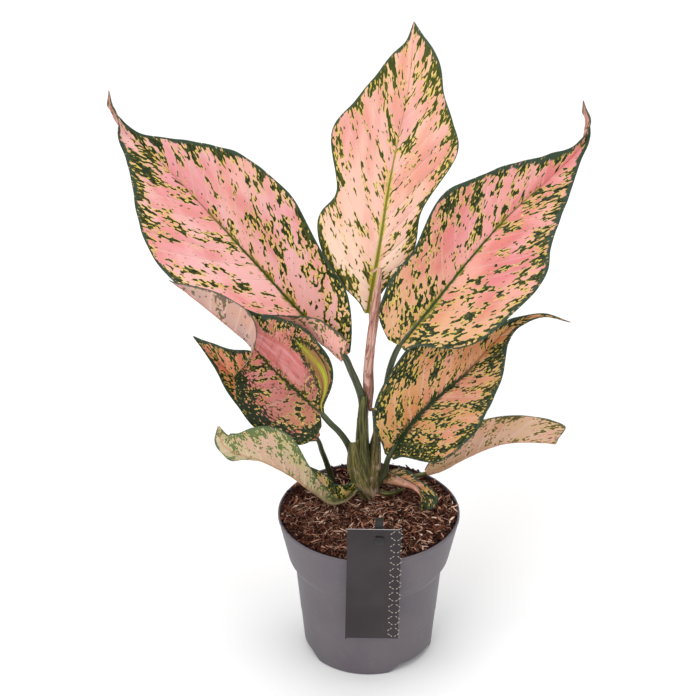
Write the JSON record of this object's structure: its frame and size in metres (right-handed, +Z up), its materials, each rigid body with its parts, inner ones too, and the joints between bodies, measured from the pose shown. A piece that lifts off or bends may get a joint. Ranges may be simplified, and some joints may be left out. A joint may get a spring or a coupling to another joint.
{
  "type": "potted chinese evergreen",
  "caption": "Pink and green leafy houseplant on slim petioles, standing in soil in a tapered round nursery pot with a plain hang label.",
  "frame": {"origin": "middle of the pot's underside, on the surface that the pot stands on", "axes": "+Z up; +Y to the back of the plant, away from the side where the label hangs; +X to the right seen from the label's side"},
  "size_m": [0.3044, 0.1533, 0.4147],
  "materials": {
    "pot": "smooth mauve-grey moulded plastic",
    "soil": "loose potting fibre and bark chips",
    "label_card": "satin dark card with a pale lattice border",
    "label_hanger": "black moulded strap",
    "stem": "satin green plant tissue",
    "dry_sheath": "dry papery pinkish tissue",
    "leaf": "satin pink leaf with green and yellow-green flecks and a green margin"
  },
  "bodies": {
    "root": {"pot": "pot", "soil": "soil", "label_card": "label_card", "label_hanger": "label_hanger", "cane": "stem", "petiole_top": "stem", "petiole_upper_left": "stem", "petiole_upper_right": "stem", "petiole_right_middle": "stem", "petiole_middle_left": "stem", "petiole_left_small": "stem", "petiole_lower_left": "stem", "petiole_lower_right": "stem", "petiole_soil_right": "stem", "dry_sheath": "dry_sheath", "soil_shoot": "stem", "leaf_top": "leaf", "leaf_upper_left": "leaf", "leaf_upper_right": "leaf", "leaf_right_middle": "leaf", "leaf_middle_left": "leaf", "leaf_left_small": "leaf", "leaf_lower_left": "leaf", "leaf_lower_right": "leaf", "leaf_soil_right": "leaf"}
  },
  "joints": []
}
